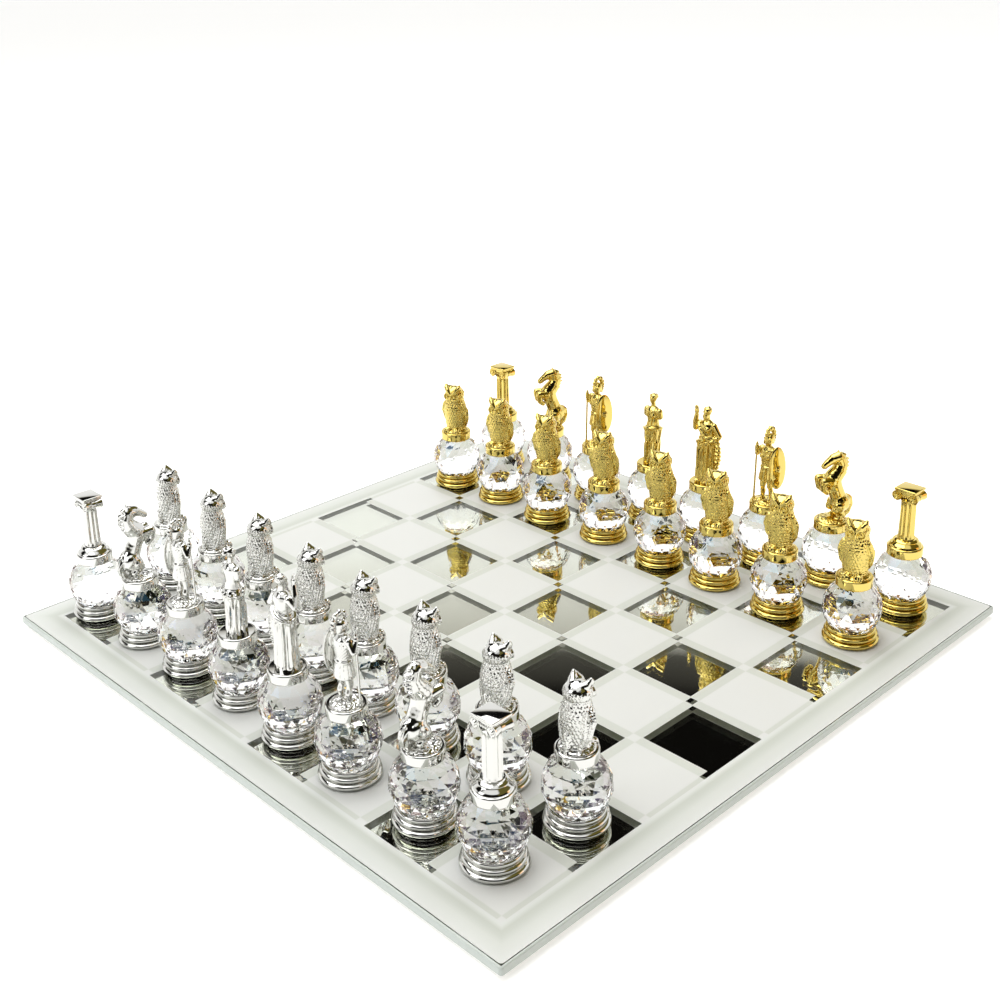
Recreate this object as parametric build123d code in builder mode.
from build123d import *

import os
from math import acos, cos, pi, sin, sqrt

# Chess set. A square glass board with satin and mirrored squares carries two sides of sixteen
# plated figures. Each figure stands on a faceted crystal ball, and the ball sits in a ringed cup.
# The board's centre is on the Z axis, files run along +X, ranks along +Y, and feet stand at Z = 0.

# ---- board, in millimetres ----
SQUARE = 40.0           # pitch of the squares
RANKS = 8
BORDER = 16.0           # plain satin margin outside the squares
BOARD_CORNER = 1.5      # corner radius in plan
BOARD_EDGE = 0.8        # rounding of the ground edge
GLASS_T = 4.0
SATIN_T = 0.2           # depth of the satin layer, flush with the glass top
SATIN_MARGIN = 1.5      # bare glass left round the satin layer
SATIN_OVERRUN = 5.4     # how much wider a satin square is than the pitch
WINDOW = 4.2            # side of the small clear window where two satin squares cross
SILVER_T = 0.3          # mirror backing under the glass
SILVER_MARGIN = 1.0
FOOT_R = 6.0
FOOT_H = 2.0
FOOT_INSET = 24.0       # foot centre to board edge

# ---- parts that every chessman has ----
BALL_R = 14.5           # to the corners of its facets
BALL_SEAT_R = 5.3       # flat under the ball, which sits on the floor of the cup
BALL_ROWS = 4
BALL_FACETS = 12
CUP_FLOOR = 4.0         # metal under the ball
CUP_GAP = 0.1           # between the ball's corners and the cup's wall
CUP_LIP = 0.6           # width of the flat on top of the cup
BASE_H = 8.0
BASE_RINGS = 3
RING_BULGE = 1.3        # how far each ring stands out past the lip
RING_GROOVE = 0.2       # depth of the cut between two rings
RING_CUT = 0.4          # its width
COLLAR_R = 9.0
COLLAR_H = 5.0
COLLAR_EDGE = 0.8       # bevel round its upper and lower rims
COLLAR_LAP = 0.9        # how far the collar laps over the flat on the ball
SUNK = 0.4              # how far each figure's foot runs into its collar

# ---- figures: heights above their collars ----
OWL_H = 31.0
ROOK_H = 31.0
KNIGHT_H = 38.0
BISHOP_H = 43.0
QUEEN_H = 43.0
KING_H = 45.0

FILES = "abcdefgh"
BACK_ROW = ("rook", "knight", "bishop", "queen", "king", "bishop", "knight", "rook")

# How far each chessman stands from the middle of its square, as set out by hand.
STANDS_OFF = {
    "silver_back": ((-11, -4), (-10, -2), (-11, -1), (-9.5, 0), (-8.5, -2), (-8, -2), (-3, 0), (-5, 1)),
    "silver_pawn": ((-13, 2), (-9, 1), (-7.5, 0.5), (-3, -2.5), (-3, -3), (-3, -2.5), (-1.5, -1), (0.5, 1)),
    "gold_pawn": ((0, -3), (-3, -1), (-3.5, -2), (-2, 1), (-0.5, 0), (-3, 0), (-2, -2), (0.5, -2)),
    "gold_back": ((-1, -1), (-1, 0), (-1, -1), (0.5, 0.5), (-0.5, -0.5), (0, 0), (-2, 4), (1, 4)),
}

# ---- worked out from the above ----
FIELD = RANKS * SQUARE
BOARD = FIELD + 2 * BORDER
GLASS_Z = FOOT_H + SILVER_T
BOARD_TOP = GLASS_Z + GLASS_T

os.makedirs("parts", exist_ok=True)


def write(part, name):
    part.label = name
    export_step(part, f"parts/{name}.step")


# ---------------------------------------------------------------- board
def clear_span(index):
    """Low and high edge of a clear square along one axis, from the board's centre."""
    low = index * SQUARE + (SATIN_OVERRUN / 2 if index > 0 else 0)
    high = (index + 1) * SQUARE - (SATIN_OVERRUN / 2 if index < RANKS - 1 else 0)
    return low - FIELD / 2, high - FIELD / 2


def window_span(index):
    """The same for a window on a grid line. On the field's edge only the inner half is clear."""
    line = index * SQUARE - FIELD / 2
    if index == 0:
        return line, line + SATIN_OVERRUN / 2
    if index == RANKS:
        return line - SATIN_OVERRUN / 2, line
    return line - WINDOW / 2, line + WINDOW / 2


def edge_window_span(index):
    """Length of an edge window along the field's edge, where it joins the clear square."""
    line = index * SQUARE - FIELD / 2
    return line - SATIN_OVERRUN / 2, line + SATIN_OVERRUN / 2


def clear_patch(x_span, y_span):
    with Locations(((x_span[0] + x_span[1]) / 2, (y_span[0] + y_span[1]) / 2)):
        Rectangle(x_span[1] - x_span[0], y_span[1] - y_span[0], mode=Mode.SUBTRACT)


with BuildPart() as frosted_pattern:
    with BuildSketch(Plane.XY.offset(BOARD_TOP - SATIN_T)):
        RectangleRounded(BOARD - 2 * SATIN_MARGIN, BOARD - 2 * SATIN_MARGIN, BOARD_CORNER)
        for column in range(RANKS):
            for row in range(column % 2, RANKS, 2):
                clear_patch(clear_span(column), clear_span(row))
        for column in range(RANKS + 1):
            for row in range((column + 1) % 2, RANKS + 1, 2):
                on_side = column in (0, RANKS)
                on_end = row in (0, RANKS)
                across = edge_window_span(column) if on_end else window_span(column)
                along = edge_window_span(row) if on_side else window_span(row)
                clear_patch(across, along)
    extrude(amount=SATIN_T)
write(frosted_pattern.part, "frosted_pattern")

with BuildPart() as glass_panel:
    with BuildSketch(Plane.XY.offset(GLASS_Z)):
        RectangleRounded(BOARD, BOARD, BOARD_CORNER)
    extrude(amount=GLASS_T)
    rims = glass_panel.faces().sort_by(Axis.Z)[0].edges() + glass_panel.faces().sort_by(Axis.Z)[-1].edges()
    fillet(rims, BOARD_EDGE)
    add(frosted_pattern.part, mode=Mode.SUBTRACT)
write(glass_panel.part, "glass_panel")

with BuildPart() as mirror_backing:
    with BuildSketch(Plane.XY.offset(FOOT_H)):
        RectangleRounded(BOARD - 2 * SILVER_MARGIN, BOARD - 2 * SILVER_MARGIN, BOARD_CORNER)
    extrude(amount=SILVER_T)
write(mirror_backing.part, "mirror_backing")

with BuildPart() as board_feet:
    with BuildSketch():
        with GridLocations(BOARD - 2 * FOOT_INSET, BOARD - 2 * FOOT_INSET, 2, 2):
            Circle(FOOT_R)
    extrude(amount=FOOT_H)
    fillet(board_feet.faces().sort_by(Axis.Z)[:4].edges(), FOOT_H / 4)
write(board_feet.part, "board_feet")


# ---------------------------------------------------------------- base and ball
def sphere_radius(height, radius):
    """Radius of a level circle on a sphere at a height from its centre, or the height of a radius."""
    return sqrt(radius**2 - height**2)


# Drops and heights that the ball's two flats give, and all that stands on them.
BALL_TABLE_R = COLLAR_R - COLLAR_LAP
BALL_SEAT = sphere_radius(BALL_SEAT_R, BALL_R)
BALL_TABLE = sphere_radius(BALL_TABLE_R, BALL_R)
BALL_CENTRE = CUP_FLOOR + BALL_SEAT
COLLAR_Z = BALL_CENTRE + BALL_TABLE
FIGURE_Z = COLLAR_Z + COLLAR_H


def ringed_base():
    """Stack of half-round rings with a round cup on top for the ball."""
    cup_r = BALL_R + CUP_GAP
    cup_mouth = sphere_radius(BALL_CENTRE - BASE_H, cup_r)
    cup_foot = sphere_radius(BALL_SEAT, cup_r)
    middle_drop = (BALL_CENTRE - BASE_H + BALL_SEAT) / 2
    lip_r = cup_mouth + CUP_LIP
    ring_h = BASE_H / BASE_RINGS
    with BuildPart() as base:
        with BuildSketch(Plane.XZ):
            with BuildLine():
                Polyline((lip_r, BASE_H), (cup_mouth, BASE_H))
                ThreePointArc(
                    (cup_mouth, BASE_H),
                    (sphere_radius(middle_drop, cup_r), BALL_CENTRE - middle_drop),
                    (cup_foot, CUP_FLOOR),
                )
                Polyline((cup_foot, CUP_FLOOR), (0, CUP_FLOOR), (0, 0), (lip_r, 0))
                for ring in range(BASE_RINGS):
                    low = ring * ring_h
                    ThreePointArc((lip_r, low), (lip_r + RING_BULGE, low + ring_h / 2), (lip_r, low + ring_h))
            make_face()
        revolve(axis=Axis.Z)
        for ring in range(1, BASE_RINGS):
            with BuildSketch(Plane.XY.offset(ring * ring_h - RING_CUT / 2)):
                Circle(lip_r + RING_BULGE)
                Circle(lip_r - RING_GROOVE, mode=Mode.SUBTRACT)
            extrude(amount=RING_CUT, mode=Mode.SUBTRACT)
    return base.part


def ball_corner(row, step):
    """Corner of the faceted ball. Every second row is turned by half a facet."""
    top = acos(BALL_TABLE / BALL_R)
    bottom = pi - acos(BALL_SEAT / BALL_R)
    tilt = top + (bottom - top) * row / BALL_ROWS
    turn = 2 * pi * (step + (row % 2) / 2) / BALL_FACETS
    level = BALL_R * sin(tilt)
    return (level * cos(turn), level * sin(turn), BALL_CENTRE + BALL_R * cos(tilt))


def crystal_ball():
    """Ball cut in rows of triangles, with a flat below for the cup and one above for the figure."""
    faces = []
    for row in (0, BALL_ROWS):
        faces.append(Face(Wire.make_polygon([ball_corner(row, step) for step in range(BALL_FACETS)])))
    for row in range(BALL_ROWS):
        lead = row % 2
        for step in range(BALL_FACETS):
            upper = [ball_corner(row, step), ball_corner(row, step + 1), ball_corner(row + 1, step + lead)]
            lower = [
                ball_corner(row + 1, step + lead - 1),
                ball_corner(row + 1, step + lead),
                ball_corner(row, step),
            ]
            faces.append(Face(Wire.make_polygon(upper)))
            faces.append(Face(Wire.make_polygon(lower)))
    with BuildPart() as ball:
        add(Solid(Shell(faces)))
    return ball.part


# ---------------------------------------------------------------- shapes that the figures share
def limb(start, end, r_start, r_end):
    """Tapered rod with round ends, added to the part being built."""
    along = Vector(*end) - Vector(*start)
    frame = Plane(origin=start, z_dir=along)
    half = Plane(origin=start, x_dir=frame.x_dir, z_dir=frame.y_dir * -1)
    bend = sqrt(0.5)
    length = along.length
    with BuildSketch(half) as profile:
        with BuildLine():
            ThreePointArc((0, -r_start), (r_start * bend, -r_start * bend), (r_start, 0))
            Line((r_start, 0), (r_end, length))
            ThreePointArc((r_end, length), (r_end * bend, length + r_end * bend), (0, length + r_end))
            Line((0, length + r_end), (0, -r_start))
        make_face()
    revolve(profile.sketch, axis=Axis(start, along))


def turned(points):
    """Round solid through (radius, height) points, heights measured from the top of the collar."""
    with BuildSketch(Plane.XZ) as section:
        with BuildLine():
            outline = [(radius, FIGURE_Z + height) for radius, height in points]
            Polyline((0, outline[0][1]), *outline, (0, outline[-1][1]), close=True)
        make_face()
    revolve(section.sketch, axis=Axis.Z)


def collar():
    """Disc that every figure is cast on, with a bevelled upper and lower rim."""
    rim = COLLAR_R - COLLAR_EDGE
    turned([
        (rim, -COLLAR_H),
        (COLLAR_R, COLLAR_EDGE - COLLAR_H),
        (COLLAR_R, -COLLAR_EDGE),
        (rim, 0),
    ])


def raised(point):
    """A point given from the top of the collar, in the chessman's own frame."""
    return (point[0], point[1], point[2] + FIGURE_Z)


def rods(points, radii):
    """Chain of rods through points measured from the top of the collar."""
    for index in range(len(points) - 1):
        limb(raised(points[index]), raised(points[index + 1]), radii[index], radii[index + 1])


# ---------------------------------------------------------------- figures, which all face -Y
def owl():
    """Pawn: an upright owl with two ear tufts, a beak and folded wings."""
    with BuildPart() as figure:
        collar()
        turned([
            (5.4, -SUNK),
            (7.0, OWL_H * 0.16),
            (7.4, OWL_H * 0.36),
            (6.4, OWL_H * 0.62),
            (6.0, OWL_H * 0.80),
            (3.2, OWL_H * 0.93),
        ])
        for side in (-1, 1):
            rods([(side * 2.8, 0, OWL_H * 0.84), (side * 4.2, -0.6, OWL_H - 0.8)], [2.0, 0.7])
            rods([(side * 2.4, -4.6, OWL_H * 0.76), (side * 2.4, -5.4, OWL_H * 0.76)], [2.0, 1.5])
            rods([(side * 5.8, 0.5, OWL_H * 0.50), (side * 5.0, 2.4, OWL_H * 0.12)], [2.5, 1.4])
            rods([(side * 2.6, -4.6, 0.7), (side * 2.8, -6.8, 0.5)], [1.3, 0.9])
        rods([(0, -5.4, OWL_H * 0.72), (0, -6.6, OWL_H * 0.66)], [1.1, 0.5])
    return figure.part


def column():
    """Rook: a fluted column with scrolls under a square top."""
    shaft_r = 4.1
    flute_r = 0.7
    flutes = 12
    foot_h = 3.6
    scroll_r = 2.5
    scroll_x = 4.9
    scroll_depth = 10
    block_h = 4.2
    slab_h = 1.5
    slab_z = ROOK_H - slab_h
    scroll_z = slab_z - scroll_r - 0.3
    with BuildPart() as figure:
        collar()
        turned([(COLLAR_R - 1.2, -SUNK), (7.0, foot_h - 2.2), (5.2, foot_h - 1), (shaft_r + 0.4, foot_h)])
        with BuildSketch(Plane.XY.offset(FIGURE_Z + foot_h - SUNK)) as section:
            Circle(shaft_r)
            with PolarLocations(shaft_r + flute_r / 3, flutes):
                Circle(flute_r, mode=Mode.SUBTRACT)
        extrude(section.sketch, amount=scroll_z - foot_h + SUNK)
        with BuildSketch(Plane.XZ.offset(-scroll_depth / 2)) as scrolls:
            with Locations((-scroll_x, FIGURE_Z + scroll_z), (scroll_x, FIGURE_Z + scroll_z)):
                Circle(scroll_r)
        extrude(scrolls.sketch, amount=scroll_depth)
        with Locations((0, 0, FIGURE_Z + slab_z)):
            Box(2 * scroll_x, 9.4, block_h, align=(Align.CENTER, Align.CENTER, Align.MAX))
            Box(13, 12, slab_h, align=(Align.CENTER, Align.CENTER, Align.MIN))
    return figure.part


def horse():
    """Knight: a rearing horse on a small mound, forelegs tucked."""
    mound_h = 1.5
    hock = KNIGHT_H * 0.10
    knee = KNIGHT_H * 0.18
    rump = KNIGHT_H * 0.26
    chest = KNIGHT_H * 0.53
    neck = KNIGHT_H * 0.74
    poll = KNIGHT_H * 0.86
    with BuildPart() as figure:
        collar()
        turned([(COLLAR_R - 1.4, -SUNK), (6.4, mound_h - 0.6), (2.0, mound_h)])
        rods([(0, 3.0, rump), (0, -0.6, chest)], [4.8, 4.3])
        rods([(0, -0.8, chest + 0.5), (0, 2.6, neck)], [4.1, 3.1])
        rods([(0, 2.5, neck + 0.1), (0, 1.4, poll)], [3.0, 2.4])
        rods([(0, 0.8, poll + 0.3), (0, -5.2, neck + 1)], [2.6, 1.5])
        rods([(0, 6.6, rump + 1), (0, 7.4, knee - 1.2)], [1.5, 1.9])
        rods([(0, 7.3, knee - 1.4), (0, 6.4, mound_h - 0.6)], [1.8, 1.3])
        for side in (-1, 1):
            rods([(side * 1.1, 1.6, poll + 1.3), (side * 1.3, 1.6, KNIGHT_H - 0.6)], [0.9, 0.5])
            rods([(side * 2.6, -2.6, chest - 0.6), (side * 2.8, -7.4, chest - 1.1)], [2.1, 1.5])
            rods([(side * 2.8, -7.3, chest - 1.3), (side * 2.6, -5.6, chest - 6)], [1.4, 1.1])
            rods([(side * 2.9, 3.2, rump - 0.9), (side * 3.2, -2.2, knee)], [3.1, 2.1])
            rods([(side * 3.2, -2.0, knee - 0.2), (side * 3.2, 1.6, hock)], [1.9, 1.3])
            rods([(side * 3.2, 1.5, hock - 0.2), (side * 3.2, -0.6, mound_h - 0.6)], [1.2, 1.3])
    return figure.part


def hoplite():
    """Bishop: a helmeted foot soldier with a spear and a tall shield."""
    shield_half_w = 5.2
    shield_half_h = 11.2
    shield_t = 2.0
    spear_r = 0.6
    knee = BISHOP_H * 0.19
    hem = BISHOP_H * 0.29
    waist = BISHOP_H * 0.48
    elbow = BISHOP_H * 0.58
    chest = BISHOP_H * 0.63
    shoulder = BISHOP_H * 0.69
    chin = BISHOP_H * 0.81
    crown = BISHOP_H * 0.92
    with BuildPart() as figure:
        collar()
        turned([
            (4.9, hem),
            (4.2, hem + 4.5),
            (3.4, waist),
            (4.3, chest),
            (4.4, shoulder + 0.3),
            (2.4, shoulder + 2.3),
        ])
        rods([(0, 0, shoulder + 1.8), (0, -0.3, chin + 0.7)], [1.8, 2.6])
        rods([(0, 0.2, chin + 1.2), (0, 0.6, crown)], [2.4, 1.2])
        rods([(0, -1.8, crown - 0.9), (0, 1.0, BISHOP_H - 1.2)], [1.0, 1.19])
        rods([(0, 1.1, BISHOP_H - 1.4), (0, 3.4, chin + 0.7)], [1.1, 0.9])
        rods([(-6.6, -1.6, -SUNK), (-5.6, -1.6, shoulder + 2.8)], [spear_r + 0.1, spear_r])
        rods([(-4.0, 0, shoulder - 0.3), (-7.0, 0.4, elbow)], [1.7, 1.4])
        rods([(-6.9, 0.3, elbow + 0.1), (-5.7, -1.5, shoulder - 1.1)], [1.3, 1.2])
        rods([(4.0, 0, shoulder - 0.3), (6.2, -0.8, elbow - 0.5)], [1.7, 1.5])
        for side in (-1, 1):
            rods([(side * 1.7, 0, hem + 2), (side * 2.2, -0.3, knee)], [2.3, 1.7])
            rods([(side * 2.2, -0.3, knee + 0.1), (side * 2.8, 0.2, 1.0)], [1.6, 1.3])
            rods([(side * 2.8, 0.4, 0.6), (side * 3.1, -2.0, 0.5)], [1.2, 1.0])
        shield_centre = raised((6.4, -1.4, elbow - 3.2))
        with BuildSketch(Plane(origin=shield_centre, x_dir=(0.3, 1, 0), z_dir=(1, -0.3, 0.07))) as face:
            Ellipse(shield_half_w, shield_half_h)
        extrude(face.sketch, amount=shield_t, taper=20)
    return figure.part


def queen():
    """Queen: a draped standing figure without forearms, hair tied in a knot."""
    knee = QUEEN_H * 0.21
    hip = QUEEN_H * 0.40
    waist = QUEEN_H * 0.60
    chest = QUEEN_H * 0.70
    shoulder = QUEEN_H * 0.75
    chin = QUEEN_H * 0.92
    with BuildPart() as figure:
        collar()
        turned([
            (5.4, -SUNK),
            (4.7, knee),
            (5.0, hip),
            (4.6, hip + 3.5),
            (3.2, waist),
            (4.0, chest),
            (4.0, shoulder),
            (1.6, shoulder + 2.5),
        ])
        rods([(0, 0, shoulder + 1.5), (0, -0.2, chin)], [1.3, 2.5])
        rods([(0, 0, chin + 0.5), (0, 0.4, QUEEN_H - 1.9)], [2.4, 1.8])
        rods([(0, 1.0, chin + 0.6), (0, 2.9, chin + 1)], [1.9, 1.4])
        for side in (-1, 1):
            rods([(side * 3.6, 0, shoulder - 0.3), (side * 5.0, 0.3, chest - 1.6)], [1.7, 1.3])
    return figure.part


def king():
    """King: a robed bearded figure, right hand raised and left hand on the hip."""
    knee = KING_H * 0.27
    hip = KING_H * 0.47
    waist = KING_H * 0.58
    elbow = KING_H * 0.61
    chest = KING_H * 0.71
    shoulder = KING_H * 0.77
    chin = KING_H * 0.84
    with BuildPart() as figure:
        collar()
        turned([
            (5.8, -SUNK),
            (5.2, knee),
            (5.1, hip),
            (4.0, waist),
            (4.7, chest),
            (4.2, shoulder),
            (1.8, shoulder + 2.4),
        ])
        rods([(0, 0, shoulder + 1.4), (0, -0.4, chin + 3)], [1.5, 2.7])
        rods([(0, -0.3, chin + 3.2), (0, 0, KING_H - 2.6)], [2.6, 2.0])
        rods([(0, -1.8, chin + 2), (0, -2.4, chin - 0.2)], [1.7, 1.1])
        rods([(-4.0, 0, shoulder - 1), (-7.0, -1.2, shoulder - 4)], [1.9, 1.6])
        rods([(-6.9, -1.3, shoulder - 3.8), (-5.4, -2.6, KING_H - 1.4)], [1.5, 1.3])
        rods([(4.0, 0, shoulder - 1), (8.0, 0.4, elbow)], [1.9, 1.5])
        rods([(7.9, 0.3, elbow - 0.1), (4.6, -1.4, elbow - 3.1)], [1.4, 1.39])
        rods([(5.6, 1.0, 1.5), (5.4, 1.0, hip + 1)], [2.4, 1.9])
    return figure.part


# ---------------------------------------------------------------- setting out
def placed(part, turn, spot):
    return Location((spot[0], spot[1], BOARD_TOP), (0, 0, 1), turn) * part


def square_centre(column, row, offset):
    x = (column + 0.5) * SQUARE - FIELD / 2 + offset[0]
    y = (row + 0.5) * SQUARE - FIELD / 2 + offset[1]
    return x, y


BASE = ringed_base()
BALL = crystal_ball()
OWL = owl()
FIGURES = {
    "rook": column(),
    "knight": horse(),
    "bishop": hoplite(),
    "queen": queen(),
    "king": king(),
}

for side, back_rank, pawn_rank, turn in (("silver", 0, 1, 180), ("gold", RANKS - 1, RANKS - 2, 0)):
    for column_index, kind in enumerate(BACK_ROW):
        letter = FILES[column_index]
        pawn_spot = square_centre(column_index, pawn_rank, STANDS_OFF[f"{side}_pawn"][column_index])
        pieces = [placed(piece, turn, pawn_spot) for piece in (BASE, BALL, OWL)]
        write(Compound(children=pieces), f"{side}_pawn_{letter}")

        spot = square_centre(column_index, back_rank, STANDS_OFF[f"{side}_back"][column_index])
        base = placed(BASE, turn, spot)
        ball = placed(BALL, turn, spot)
        figure = placed(FIGURES[kind], turn, spot)
        name = kind if kind in ("queen", "king") else f"{kind}_{letter}"
        write(ball, f"{side}_{name}_ball")
        if kind in ("rook", "knight"):
            write(Compound(children=[base, figure]), f"{side}_{name}_metal")
        else:
            write(base, f"{side}_{name}_base")
            write(figure, f"{side}_{name}_figure")
